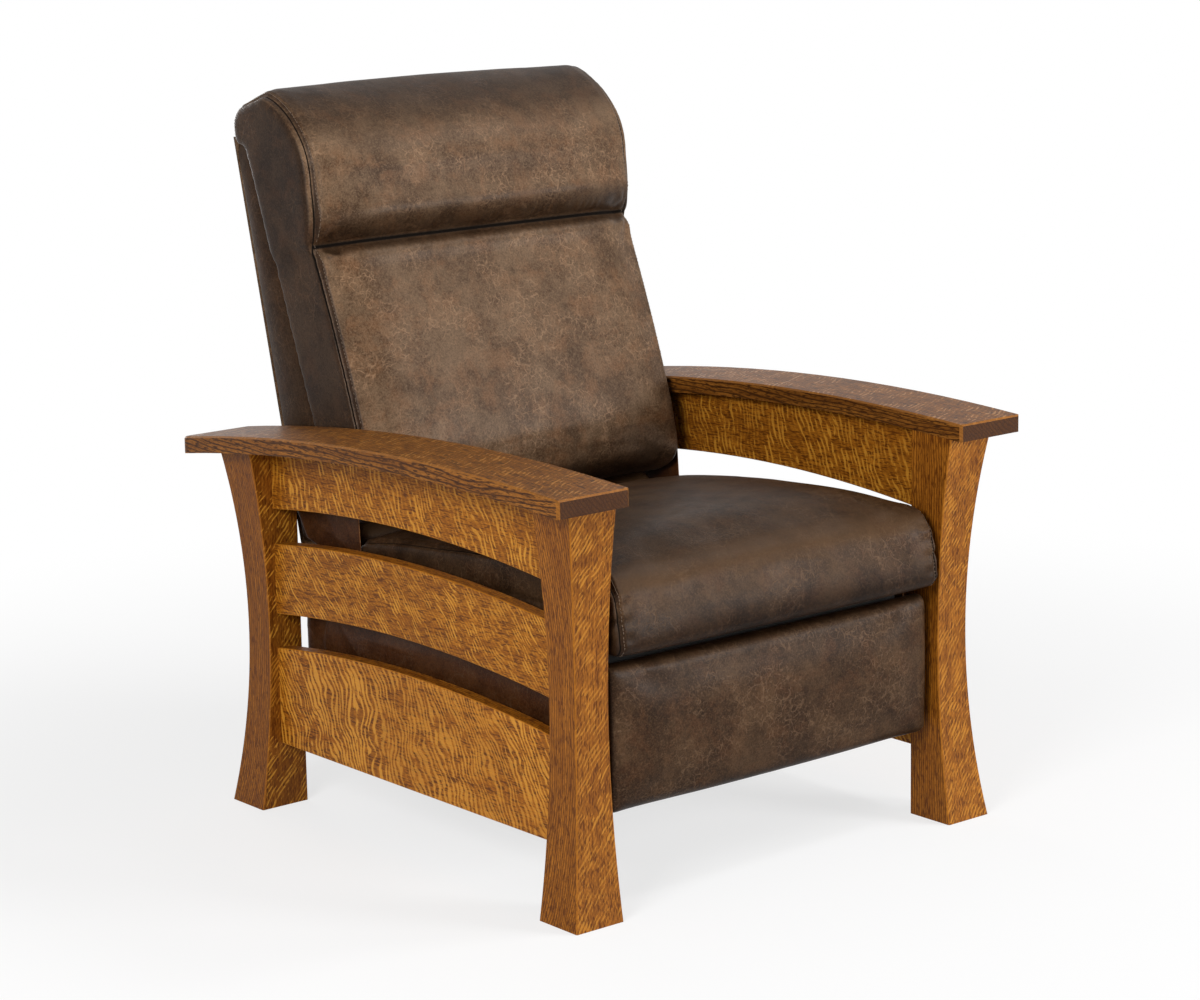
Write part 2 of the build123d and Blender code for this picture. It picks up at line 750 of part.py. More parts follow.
stile_face = make_face(Polyline(
    (rear_cover_thickness, stile_foot), (stile_depth_at(stile_foot), stile_foot),
    (stile_depth_at(stile_top), stile_top), (rear_cover_thickness, stile_top), close=True))
stile_outer = front_layer
stile_inner = stile_outer - stile_thickness
pair("back_stile", back_solid(stile_face, stile_inner, stile_outer))
back_rails = [back_solid(back_box(rear_cover_thickness, rear_cover_thickness + back_rail_thickness,
                                  low, low + back_rail_height), -stile_inner, stile_inner)
              for low in (stile_foot, back_middle_rail_low, stile_top - back_rail_height)]
nodes["back_cross_rails"] = group(back_rails)
nodes["rear_cover"] = back_solid(back_box(0, rear_cover_thickness, rear_cover_foot, rear_cover_top),
                                 -rear_cover_half_width, rear_cover_half_width)
strap_pitch = (stile_top - stile_foot - back_rail_height) / webbing_count
straps = [back_solid(along_stile(low, low + webbing_width, 0, webbing_thickness), -stile_outer, stile_outer)
          for low in [stile_foot + strap_pitch * (index + 1 / 3) for index in range(webbing_count)]]
nodes["back_webbing"] = group(straps)

# The hinge in the back's own depth and height
hinge_y = hinge[0] - back_foot_y
hinge_z = hinge[1] - back_foot_height
hinge_depth = hinge_z * lean_sin - hinge_y * lean_cos
hinge_up = hinge_y * lean_sin + hinge_z * lean_cos
strap_half = back_bracket_width / 2
strap_ends = [(stile_depth_at(height) - strap_half - back_bracket_inset, height)
              for height in (stile_foot + strap_half, back_bracket_top - strap_half)]
bracket_face = bar((hinge_depth, hinge_up), strap_ends[0], hinge_eye_radius) + bar(*strap_ends, strap_half)
bracket_face -= Pos(hinge_depth, hinge_up) * Circle(hole_radius)
pair("back_bracket", back_solid(bracket_face, front_layer, front_layer + plate_thickness))
cover_low = stile_foot + side_cover_margin
cover_face = make_face(Polyline(
    (rear_cover_thickness, cover_low), (stile_depth_at(cover_low), cover_low),
    (stile_depth_at(stile_top), stile_top), (rear_cover_thickness, stile_top), close=True))
pair("back_side_cover", back_solid(cover_face, front_layer + plate_thickness + side_cover_end_gap,
                                   rear_cover_half_width))


# Back cushion: fullest low down, rolled under at the foot, nipped in at the head's crease
def back_cushion_face(grow):
    low = back_cushion_foot - min(grow, 0) / 2
    high = crease_height - crease_gap
    rear_low = stile_depth_at(low) + webbing_thickness
    rear_high = stile_depth_at(high) + webbing_thickness
    front = lumbar_depth + grow
    foot = front - back_cushion_foot_round
    turn = back_cushion_foot_round
    bend = turn * (1 - sqrt(1 / 2))
    upper = (lumbar_height + high) / 2
    swell = (front + crease_depth + grow / 2) / 2 + turn / 12
    return make_face([
        Line((rear_low, low), (foot, low)),
        ThreePointArc((foot, low), (front - bend, low + bend), (front, low + turn)),
        Line((front, low + turn), (front, lumbar_height)),
        ThreePointArc((front, lumbar_height), (swell, upper), (crease_depth + grow / 2, high)),
        Line((crease_depth + grow / 2, high), (rear_high, high)),
        Line((rear_high, high), (rear_low, low)),
    ])


def head_face(grow):
    low = crease_height
    rear_low = stile_depth_at(low) + webbing_thickness
    shoulder = stile_top + webbing_thickness
    rear_high = stile_depth_at(stile_top) + webbing_thickness
    top = head_top + grow
    top_depth = (head_depth + head_rear_depth) / 2
    fore = head_depth + grow
    brow = (fore + top_depth) / 2 + (fore - top_depth) / 4
    brow_height = (head_depth_height + top) / 2 + (top - head_depth_height) / 6
    return make_face([
        Line((rear_low, low), (crease_depth + grow / 2, low)),
        ThreePointArc((crease_depth + grow / 2, low), (fore - head_cheek, (low + head_depth_height) / 2),
                      (fore, head_depth_height)),
        ThreePointArc((fore, head_depth_height), (brow, brow_height), (top_depth, top)),
        Line((top_depth, top), (head_rear_depth + head_rear_ease, head_rear_height + head_rear_ease)),
        Line((head_rear_depth + head_rear_ease, head_rear_height + head_rear_ease),
             (head_rear_depth, head_rear_height)),
        Line((head_rear_depth, head_rear_height), (head_rear_depth, shoulder)),
        Line((head_rear_depth, shoulder), (rear_high, shoulder)),
        Line((rear_high, shoulder), (rear_low, low)),
    ])


nodes["back_cushion"] = padded(back_cushion_face, back_half_width, back_end_tuck, back_end_round,
                               back_crown, back_plane)
nodes["headrest_cushion"] = padded(head_face, head_half_width, back_end_tuck, back_end_round,
                                   head_crown, back_plane)

os.makedirs("parts", exist_ok=True)
for name, shape in nodes.items():
    export_step(shape, os.path.join("parts", name + ".step"))

print("nodes", len(nodes))
print("front pivot", front_pivot, "cross pivot", cross_pivot, "panel pivot", panel_pivot)
print("control pivot", control_pivot, "control end", control_end, "heel", heel, "panel end", panel_end)
print("lift feet", front_lift_foot, rear_lift_foot, "lift heads", front_lift_head, rear_lift_head)
print("hinge", hinge, "lower link turns", lower_angles, "heel bend", heel_bend())
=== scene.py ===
import bpy
import bmesh
import numpy as np
from math import cos, pi, radians, sin
from mathutils import Matrix, Vector
from mathutils.bvhtree import BVHTree
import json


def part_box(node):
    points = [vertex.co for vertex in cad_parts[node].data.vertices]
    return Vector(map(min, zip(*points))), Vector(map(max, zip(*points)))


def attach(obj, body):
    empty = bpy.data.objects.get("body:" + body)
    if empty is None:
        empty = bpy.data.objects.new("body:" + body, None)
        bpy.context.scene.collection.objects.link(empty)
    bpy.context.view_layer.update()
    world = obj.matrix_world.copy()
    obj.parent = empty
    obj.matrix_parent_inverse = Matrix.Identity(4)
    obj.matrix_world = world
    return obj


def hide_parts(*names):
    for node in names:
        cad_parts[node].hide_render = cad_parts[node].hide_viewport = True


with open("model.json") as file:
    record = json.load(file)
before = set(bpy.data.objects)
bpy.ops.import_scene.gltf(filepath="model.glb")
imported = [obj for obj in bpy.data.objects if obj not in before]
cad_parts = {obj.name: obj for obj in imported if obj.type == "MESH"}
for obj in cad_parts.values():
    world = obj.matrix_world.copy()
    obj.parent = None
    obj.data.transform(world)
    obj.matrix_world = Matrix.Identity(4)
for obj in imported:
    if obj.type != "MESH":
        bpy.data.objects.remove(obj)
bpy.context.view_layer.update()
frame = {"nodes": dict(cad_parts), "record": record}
scene = bpy.context.scene
nodes = frame["nodes"]

# Metres, in the chair's own frame: +Z is up, the chair faces -Y, and X = 0 is its plane of symmetry.

# Camera, fitted to the posts, rails and arms
camera_place = Vector((-3.07093, -3.77556, 1.52253))
camera_yaw = 0.6867
camera_pitch = 0.2105
camera_roll = -0.0179
camera_lens = 97.3995
camera_sensor = 36.0

# Studio
floor_reach = 14.0
floor_drop = 0.0004
floor_white_share = 0.7
floor_fade = 0.7, 2.2
room_strength = 0.3
lamp_aim = Vector((0.0, 0.0, 0.5))

# Soft pieces: the mesh, the cloth, what is kept of its moves, and the seams
voxel = 0.0068
held_rim = 0.006
sim_frames = 20
sim_pressure = 4.0
even_rounds = 40
crumple = 0.12
width_give = 0.15
seam_x = 0.307
seam_half_width = 0.0036
seam_depth = 0.0034
seam_lip = 0.0012
stitch_offset = 0.0048
stitch_pitch = 0.0058
crease_height = 0.254
crease_depth = 0.020
corner_drop = 0.014
weld_distance = 0.00002


def aim(place, target):
    return (target - place).to_track_quat("-Z", "Y")


def make_camera():
    level_share = cos(camera_pitch)
    ahead = Vector((sin(camera_yaw) * level_share, cos(camera_yaw) * level_share, -sin(camera_pitch)))
    level = Vector((cos(camera_yaw), -sin(camera_yaw), 0.0))
    upright = level.cross(ahead)
    across = cos(camera_roll) * level + sin(camera_roll) * upright
    up = -sin(camera_roll) * level + cos(camera_roll) * upright
    data = bpy.data.cameras.new("camera")
    data.lens = camera_lens
    data.sensor_width = camera_sensor
    camera = bpy.data.objects.new("camera", data)
    turned = Matrix((across, up, -ahead)).transposed().to_4x4()
    camera.matrix_world = Matrix.Translation(camera_place) @ turned
    scene.collection.objects.link(camera)
    scene.camera = camera


def make_lamp(name, place, size, power):
    data = bpy.data.lights.new(name, "AREA")
    data.shape = "RECTANGLE"
    data.size = size[0]
    data.size_y = size[1]
    data.energy = power
    lamp = bpy.data.objects.new(name, data)
    lamp.location = place
    lamp.rotation_mode = "QUATERNION"
    lamp.rotation_quaternion = aim(Vector(place), lamp_aim)
    scene.collection.objects.link(lamp)


class Surface:
    """A node material in the making. Its methods add a node and give back the socket it feeds."""

    def __init__(self, name):
        self.material = bpy.data.materials.new(name)
        self.material.use_nodes = True
        self.nodes = self.material.node_tree.nodes
        self.links = self.material.node_tree.links
        self.shader = self.nodes["Principled BSDF"]

    def add(self, kind, inputs, **settings):
        node = self.nodes.new(kind)
        for key, value in settings.items():
            setattr(node, key, value)
        for key, value in inputs.items():
            self.feed(node.inputs[key], value)
        return node

    def feed(self, socket, value):
        if isinstance(value, bpy.types.NodeSocket):
            self.links.new(value, socket)
        else:
            socket.default_value = value

    def set(self, **inputs):
        for key, value in inputs.items():
            self.feed(self.shader.inputs[key.replace("_", " ")], value)

    def place(self):
        return self.add("ShaderNodeTexCoord", {}).outputs["Object"]

    def facing(self):
        return self.add("ShaderNodeTexCoord", {}).outputs["Normal"]

    def maths(self, operation, first, second=0.0, third=0.0):
        return self.add("ShaderNodeMath", {0: first, 1: second, 2: third},
                        operation=operation).outputs[0]

    def product(self, *values):
        result = values[0]
        for value in values[1:]:
            result = self.maths("MULTIPLY", result, value)
        return result

    def largest(self, *values):
        result = values[0]
        for value in values[1:]:
            result = self.maths("MAXIMUM", result, value)
        return result

    def dot(self, vector, direction):
        return self.add("ShaderNodeVectorMath", {0: vector, 1: direction},
                        operation="DOT_PRODUCT").outputs["Value"]

    def waves(self, value, pitch):
        return self.maths("SINE", self.maths("MULTIPLY", value, 2 * pi / pitch))

    def parts(self, vector):
        return self.add("ShaderNodeSeparateXYZ", {0: vector}).outputs

    def join(self, x, y, z):
        return self.add("ShaderNodeCombineXYZ", {0: x, 1: y, 2: z}).outputs[0]

    def stretch(self, vector, scale, turn=0.0, shift=(0.0, 0.0, 0.0)):
        """The vector turned about its third axis, then scaled and shifted."""
        turned = self.add("ShaderNodeMapping", {"Vector": vector, "Rotation": (0.0, 0.0, turn)})
        return self.add("ShaderNodeMapping", {"Vector": turned.outputs[0], "Scale": scale,
                                              "Location": shift}).outputs[0]

    def bend(self, vector, scale, reach):
        """The vector pushed about by a soft noise."""
        noise = self.add("ShaderNodeTexNoise", {"Vector": vector, "Scale": scale, "Detail": 2.0})
        centred = self.add("ShaderNodeVectorMath", {0: noise.outputs["Color"], 1: (0.5, 0.5, 0.5)},
                           operation="SUBTRACT").outputs[0]
        push = self.add("ShaderNodeVectorMath", {0: centred, 1: (reach, reach, reach)},
                        operation="MULTIPLY").outputs[0]
        return self.add("ShaderNodeVectorMath", {0: vector, 1: push}, operation="ADD").outputs[0]

    def noise(self, vector, scale=1.0, detail=3.0, roughness=0.55):
        return self.add("ShaderNodeTexNoise", {"Vector": vector, "Scale": scale, "Detail": detail,
                                               "Roughness": roughness}).outputs["Fac"]

    def cells(self, vector, scale):
        return self.add("ShaderNodeTexVoronoi", {"Vector": vector, "Scale": scale},
                        feature="DISTANCE_TO_EDGE").outputs["Distance"]

    def span(self, value, low, high, to_low=0.0, to_high=1.0):
        return self.add("ShaderNodeMapRange", {"Value": value, "From Min": low, "From Max": high,
                                               "To Min": to_low, "To Max": to_high},
                        interpolation_type="SMOOTHSTEP").outputs[0]

    def mix(self, share, first, second, blend="MIX"):
        node = self.add("ShaderNodeMix", {}, data_type="RGBA", blend_type=blend)
        self.feed(node.inputs[0], share)
        self.feed(node.inputs[6], first)
        self.feed(node.inputs[7], second)
        return node.outputs[2]

    def bump(self, height, strength, distance):
        return self.add("ShaderNodeBump", {"Height": height, "Strength": strength,
                                           "Distance": distance}).outputs[0]


def tone(red, green, blue):
    """A colour given in the 0 to 255 values of a screen."""
    def linear(value):
        share = value / 255
        return share / 12.92 if share <= 0.04045 else ((share + 0.055) / 1.055) ** 2.4
    return linear(red), linear(green), linear(blue), 1.0


def oak(name, grain, rays, seed, dark, middle, light, fleck, turn=0.0, pitch=0.006, sway=0.02, thin=0.45,
        fleck_share=0.85, ring=0.0048, wander=0.034, flow=1.0, broken=0.42, end_share=0.6):
    """Oak whose grain runs along one axis, and whose rays show on the faces that look along another.
    turn is the way of the ribbons of ray, from straight across the grain, pitch their distance, sway
    and flow how far and how closely they wander, and thin and broken how much of them is left out. ring
    is the distance of the growth lines, wander how far these stray, and end_share how dark the end
    grain is."""
    surface = Surface(name)
    sides = surface.parts(surface.place())
    across = ({0, 1, 2} - {grain, rays}).pop()
    board = surface.join(sides[grain], sides[across], sides[rays])
    board = surface.stretch(board, (1.0, 1.0, 1.0), shift=(seed * 1.37, seed * 0.71, seed * 0.93))
    facing = surface.parts(surface.facing())[rays]
    on_face = surface.span(surface.maths("ABSOLUTE", facing), 0.45, 0.75)

    wavy = surface.noise(surface.stretch(board, (3.2, 12.0, 12.0)), detail=2.0)
    along = surface.parts(board)
    depth = surface.maths("ADD", surface.maths("ADD", along[1], along[2]), surface.product(wavy, wander))
    rings = surface.span(surface.waves(depth, ring), 0.15, 1.0)

    streaks = surface.noise(surface.stretch(board, (5.0, 150.0, 150.0)), detail=4.0, roughness=0.65)
    broad = surface.noise(surface.stretch(board, (3.0, 16.0, 16.0)), detail=2.0)
    body = surface.mix(surface.span(streaks, 0.36, 0.64), middle, light)
    body = surface.mix(surface.product(rings, surface.span(on_face, 0.0, 1.0, 0.85, 0.06)), body, dark)
    body = surface.mix(surface.span(broad, 0.4, 0.75, 0.0, 0.22), body, dark)
    pores = surface.noise(surface.stretch(board, (62.0, 430.0, 430.0)), detail=3.0)
    pores = surface.span(pores, 0.50, 0.61)
    hairs = surface.noise(surface.stretch(board, (120.0, 1300.0, 1300.0)), detail=1.0)
    hairs = surface.span(hairs, 0.5, 0.66)
    body = surface.mix(surface.product(pores, 0.9), body, dark)
    body = surface.mix(surface.product(hairs, 0.6), body, dark)

    swaying = surface.bend(surface.bend(board, 11.0 * flow, sway * 2), 38.0 * flow, sway / 3)
    ribbons = surface.stretch(swaying, (1.0, 1.0, 1.0), turn)
    wave = surface.waves(surface.parts(ribbons)[0], pitch)
    surge = surface.noise(surface.stretch(ribbons, (55.0, 30.0, 10.0)), detail=2.0)
    wave = surface.maths("ADD", wave, surface.span(surge, 0.25, 0.75, -1.1, 1.1))
    breaks = surface.noise(surface.stretch(ribbons, (170.0, 60.0, 30.0)), detail=2.0)
    breaks = surface.span(breaks, broken, broken + 0.12)
    patches = surface.span(surface.noise(board, 8.0, 1.0), 0.36, 0.58, 0.6, 1.0)
    flecks = surface.product(surface.span(wave, thin, thin + 0.4), breaks, patches, on_face)
    # Painted shade in the troughs beside the ray flecks, as if the flecks stood out of the board
    shade_beside_flecks = surface.product(surface.span(wave, -0.2, -1.0), on_face)
    body = surface.mix(surface.product(shade_beside_flecks, 0.3), body, dark)
    colour = surface.mix(surface.product(flecks, fleck_share), body, fleck)

    height = surface.maths("ADD", surface.product(pores, -1.0), surface.product(streaks, 0.5))
    end_grain = surface.parts(surface.facing())[grain]
    end_grain = surface.span(surface.maths("ABSOLUTE", end_grain), 0.7, 0.9, 0.0, end_share)
    colour = surface.mix(end_grain, colour, dark)
    # Chamfered edges, found by their diagonal facing, are lighter: partly edge wear, partly a painted
    # highlight along them
    spread = surface.add("ShaderNodeVectorMath", {0: surface.facing()}, operation="ABSOLUTE").outputs[0]
    wear_and_highlight = surface.span(surface.dot(spread, (1.0, 1.0, 1.0)), 1.34, 1.4, 0.0, 0.6)
    colour = surface.mix(wear_and_highlight, colour, light)
    surface.set(Base_Color=colour, Roughness=surface.span(flecks, 0.0, 1.0, 0.46, 0.36),
                Normal=surface.bump(height, 0.3, 0.0003))
    surface.set(Specular_IOR_Level=0.12)
    return surface.material


# The nearly black painted shade of the seams and the crease, the hair cracks of the leather, and the tint
# that its painted shade is multiplied by
seam_shade_black = tone(12, 7, 4)
vein = tone(150, 118, 90)
painted_shade_tint = (0.13, 0.085, 0.05, 1.0)


def leather(name, seed, dark, middle, light, warm, cracks=0.55, highlight_share=0.2, bands=(), seams=(),
            side_shade=0.84, top_shade=0.8, shine=0.11):
    """Soft clouds of several browns, with a fine pebble, pale hair cracks and a painted highlight where
    it faces forward and up, and painted shade on its sides, top and underside. bands are painted shade,
    places
    where the leather is darker: a direction, a distance along it, a reach and a share. seams are nearly
    black lines of painted shade in the crease and seam grooves: a direction, a distance along it, a
    reach, and a half width that ends them."""
    surface = Surface(name)
    spot = surface.place()
    hide = surface.stretch(spot, (1.0, 1.0, 1.0), shift=(seed * 1.7, seed * 0.9, seed * 2.3))
    bent = surface.bend(hide, 6.0, 0.08)
    clouds = surface.noise(bent, 13.0, 6.0, 0.66)
    rubbed = surface.noise(surface.bend(hide, 14.0, 0.05), 24.0, 6.0, 0.72)
    colour = surface.mix(surface.span(clouds, 0.32, 0.58, 0.5, 1.0), dark, middle)
    colour = surface.mix(surface.span(rubbed, 0.45, 0.64, 0.0, 0.5), colour, warm)
    greyed = surface.noise(surface.bend(hide, 12.0, 0.04), 15.0, 6.0, 0.7)
    colour = surface.mix(surface.span(greyed, 0.40, 0.64, 0.0, 0.55), colour, light)
    specks = surface.noise(surface.bend(hide, 90.0, 0.008), 330.0, 5.0, 0.75)
    colour = surface.mix(surface.span(specks, 0.50, 0.62, 0.0, 0.5), colour, light)
    colour = surface.mix(surface.span(specks, 0.49, 0.38, 0.0, 0.42), colour, dark)
    wide = surface.cells(surface.bend(hide, 34.0, 0.03), 34.0)
    narrow = surface.cells(surface.bend(hide, 80.0, 0.014), 90.0)
    lines = surface.largest(surface.span(wide, 0.05, 0.0), surface.span(narrow, 0.085, 0.0, 0.0, 0.8))
    aged = surface.span(surface.noise(hide, 13.0, 3.0), 0.42, 0.6, 0.15, 1.0)
    broken = surface.span(surface.noise(hide, 140.0, 2.0), 0.4, 0.6, 0.2, 1.0)
    lines = surface.product(lines, aged, broken)
    colour = surface.mix(surface.product(lines, cracks), colour, vein)

    # Painted highlight where the leather faces forward and up
    forward_up = surface.dot(surface.facing(), (0.0, -0.71, 0.704))
    colour = surface.mix(surface.span(forward_up, 0.86, 1.0, 0.0, highlight_share), colour, light)
    # Painted shade: darker on the sides, the top and the underside, and in the bands, multiplied in by a
    # brown tint
    facing = surface.parts(surface.facing())
    sideways = surface.span(surface.maths("ABSOLUTE", facing[0]), 0.5, 0.9, 0.0, side_shade)
    upward = surface.span(facing[2], 0.45, 0.95, 0.0, top_shade)
    downward = surface.span(facing[2], 0.0, -0.6, 0.0, 0.6)
    shade = surface.largest(sideways, upward, downward)

    def away(direction, distance):
        along = surface.dot(spot, direction)
        return surface.maths("ABSOLUTE", surface.maths("SUBTRACT", along, distance))

    for direction, distance, reach, share in bands:
        shade = surface.largest(shade, surface.span(away(direction, distance), reach, 0.0, 0.0, share))
    colour = surface.mix(shade, colour, painted_shade_tint, "MULTIPLY")
    roughness = surface.span(clouds, 0.3, 0.7, 0.46, 0.38)
    from_middle = away((1.0, 0.0, 0.0), 0.0)
    # Nearly black painted shade along the crease and the seam grooves
    for direction, distance, reach, half_width in seams:
        line = surface.product(surface.span(away(direction, distance), reach, reach * 0.3),
                               surface.span(from_middle, half_width + 0.002, half_width))
        colour = surface.mix(line, colour, seam_shade_black)
        roughness = surface.largest(roughness, line)
    pebbles = surface.noise(surface.bend(hide, 200.0, 0.004), 700.0, 3.0, 0.6)
    height = surface.maths("SUBTRACT", pebbles, surface.product(lines, 0.8))
    surface.set(Base_Color=colour, Roughness=roughness, Normal=surface.bump(height, 0.35, 0.0006))
    surface.set(Specular_IOR_Level=shine)
    return surface.material


def bare_wood(name, seed, dark, light):
    surface = Surface(name)
    board = surface.stretch(surface.place(), (1.0, 1.0, 1.0), shift=(seed, seed * 2, seed * 3))
    streaks = surface.noise(surface.stretch(board, (60.0, 5.0, 60.0)), detail=4.0)
    colour = surface.mix(surface.span(streaks, 0.35, 0.65), dark, light)
    surface.set(Base_Color=colour, Normal=surface.bump(streaks, 0.2, 0.0003))
    surface.set(Roughness=0.7)
    return surface.material


def steel(name, dark, light, metallic, roughness):
    surface = Surface(name)
    grain = surface.noise(surface.stretch(surface.place(), (300.0, 300.0, 300.0)), detail=3.0)
    wear = surface.noise(surface.place(), 40.0, 4.0, 0.7)
    colour = surface.mix(surface.span(wear, 0.35, 0.7), dark, light)
    dulled = surface.span(grain, 0.3, 0.7, roughness - 0.06, roughness + 0.08)
    surface.set(Base_Color=colour, Roughness=dulled, Normal=surface.bump(grain, 0.15, 0.0002))
    surface.set(Metallic=metallic)
    return surface.material


def woven(name, dark, light):
    surface = Surface(name)
    sides = surface.parts(surface.place())
    thread_pitch = 0.003
    weave = surface.product(surface.waves(sides[2], thread_pitch),
                            surface.waves(sides[0], thread_pitch))
    colour = surface.mix(surface.span(weave, -0.6, 0.6), dark, light)
    surface.set(Base_Color=colour, Normal=surface.bump(weave, 0.4, 0.0005))
    surface.set(Roughness=0.85)
    return surface.material


make_camera()
make_lamp("key", (-3.3, -1.6, 2.1), (1.5, 1.2), 100.0)
make_lamp("front", (2.1, -3.5, 1.4), (1.2, 1.0), 110.0)
make_lamp("high", (1.5, -1.2, 2.9), (0.6, 0.6), 22.0)
make_lamp("rear", (0.5, 4.2, 1.0), (1.8, 1.2), 45.0)


def light_path(tree):
    """One where a ray from the camera, a mirror or a clear body arrives, and nothing elsewhere."""
    path = tree.nodes.new("ShaderNodeLightPath")
    total = path.outputs["Is Camera Ray"]
    for output in ("Is Glossy Ray", "Is Transmission Ray"):
        either = tree.nodes.new("ShaderNodeMath")
        either.operation = "MAXIMUM"
        tree.links.new(total, either.inputs[0])
        tree.links.new(path.outputs[output], either.inputs[1])
        total = either.outputs[0]
    return total


def make_room():
    world = bpy.data.worlds.new("room")
    world.use_nodes = True
    scene.world = world
    tree = world.node_tree
    background = tree.nodes["Background"]
    background.inputs["Color"].default_value = (1.0, 1.0, 1.0, 1.0)
    strength = tree.nodes.new("ShaderNodeMapRange")
    strength.inputs["To Min"].default_value = room_strength
    tree.links.new(light_path(tree), strength.inputs["Value"])
    tree.links.new(strength.outputs[0], background.inputs["Strength"])


def make_floor():
    mesh = bpy.data.meshes.new("floor")
    corners = [(x * floor_reach, y * floor_reach, -floor_drop)
               for x, y in ((-1, -1), (1, -1), (1, 1), (-1, 1))]
    mesh.from_pydata(corners, [], [(0, 1, 2, 3)])
    floor = bpy.data.objects.new("floor", mesh)
    scene.collection.objects.link(floor)
    surface = Surface("floor_paint")
    surface.set(Base_Color=(0.86, 0.86, 0.86, 1.0), Roughness=0.9)
    surface.set(Specular_IOR_Level=0.0)
    glow = surface.add("ShaderNodeEmission", {"Color": (1.0, 1.0, 1.0, 1.0), "Strength": 1.0})
    blend = surface.add("ShaderNodeMixShader", {})
    away = surface.add("ShaderNodeVectorMath", {0: surface.place()}, operation="LENGTH").outputs["Value"]
    white = surface.span(away, *floor_fade, floor_white_share, 1.0)
    share = surface.product(light_path(surface.material.node_tree), white)
    surface.links.new(share, blend.inputs[0])
    surface.links.new(surface.shader.outputs[0], blend.inputs[1])
    surface.links.new(glow.outputs[0], blend.inputs[2])
    surface.links.new(blend.outputs[0], surface.nodes["Material Output"].inputs["Surface"])
    mesh.materials.append(surface.material)


make_room()
make_floor()

# Browns of the stained oak
oak_dark = tone(84, 42, 6)
oak_middle = tone(146, 86, 18)
oak_light = tone(172, 108, 28)
oak_fleck = tone(196, 136, 46)
arm_dark = tone(52, 26, 6)
arm_middle = tone(118, 70, 22)
arm_light = tone(146, 92, 34)
arm_fleck = tone(178, 124, 58)

boards = {
    "bottom_rail": dict(grain=1, rays=0, dark=oak_dark, middle=tone(154, 90, 20),
                        light=tone(176, 110, 30), fleck=tone(200, 138, 48), turn=0.35, pitch=0.0095,
                        sway=0.06, thin=0.05, flow=0.6, broken=0.30),
    "middle_rail": dict(grain=1, rays=0, dark=oak_dark, middle=oak_middle, light=oak_light,
                        fleck=oak_fleck, turn=0.75, pitch=0.0062, sway=0.022, thin=0.5, flow=0.8,
                        broken=0.40),
    "top_rail": dict(grain=1, rays=0, dark=oak_dark, middle=oak_middle, light=oak_light, fleck=oak_fleck,
                     turn=0.3, pitch=0.0095, sway=0.034, thin=0.4, flow=0.75, broken=0.38),
    "front_post": dict(grain=2, rays=1, dark=oak_dark, middle=tone(136, 80, 19), light=tone(160, 99, 28),
                       fleck=tone(192, 132, 46), turn=0.9, pitch=0.006, sway=0.014, thin=0.4, flow=0.8,
                       fleck_share=0.6),
    "rear_post": dict(grain=2, rays=1, dark=oak_dark, middle=tone(126, 72, 16), light=tone(150, 92, 26),
                      fleck=oak_fleck, turn=0.9, pitch=0.006, sway=0.014, thin=0.5, flow=0.8),
    "arm": dict(grain=1, rays=2, dark=arm_dark, middle=arm_middle, light=arm_light, fleck=arm_fleck,
                turn=0.5, pitch=0.0075, sway=0.012, thin=0.75, fleck_share=0.6, ring=0.0075, wander=0.05,
                end_share=0.85),
    "rear_cross": dict(grain=0, rays=1, dark=oak_dark, middle=tone(126, 72, 16), light=tone(150, 92, 26),
                       fleck=oak_fleck, turn=0.5, pitch=0.007, sway=0.03, thin=0.5, flow=0.8),
}


def cad_paint(name, material):
    """A CAD node keeps its mesh and takes the material in its own slots."""
    part = nodes[name]
    if not part.material_slots:
        part.data.materials.append(material)
    for slot in part.material_slots:
        slot.link = "OBJECT"
        slot.material = material


# The leaned back, in its own depth forward from the rear cover and height up it
back_lean = radians(13.1)
back_origin = np.array((0.0, 0.38078, 0.591))
back_forward = np.array((0.0, -cos(back_lean), sin(back_lean)))
back_up = np.array((0.0, sin(back_lean), cos(back_lean)))


def back_depth(points):
    return (points - back_origin) @ back_forward


def back_height(points):
    return (points - back_origin) @ back_up


base_leather = dict(dark=tone(38, 22, 9), middle=tone(78, 57, 39), light=tone(118, 95, 73),
                    warm=tone(120, 84, 56))
crease_place = float(back_origin @ back_up) + crease_height
up_the_back = tuple(float(share) for share in back_up)
hide = leather("hide", 1.0, **base_leather, shine=0.07)
side_seams = [((1.0, 0.0, 0.0), side * seam_x, 0.0018, 2 * seam_x) for side in (-1, 1)]
# A darker copy of the leather for the seat, foot roll and footrest: painted shade
shaded_low_leather = dict(dark=tone(28, 16, 6), middle=tone(46, 29, 15), light=tone(84, 62, 42),
                   warm=tone(76, 48, 28), cracks=0.22)
# A brighter copy for the pieces seen through the slots: painted light set against their painted side
# shade
lit_slot_leather = dict(dark=tone(50, 26, 12), middle=tone(102, 60, 30), light=tone(152, 104, 64),
                    warm=tone(134, 80, 42))
# The seat's band is painted shade towards its foot; its sides and top take less painted shade than the
# others
seat_hide = leather("seat_hide", 2.2, **shaded_low_leather, highlight_share=0.6,
                    bands=[((0.0, 0.0, 1.0), 0.372, 0.075, 0.85)], seams=side_seams,
                    side_shade=0.4, top_shade=0.4, shine=0.08)
slot_hide = leather("slot_hide", 5.6, **lit_slot_leather)
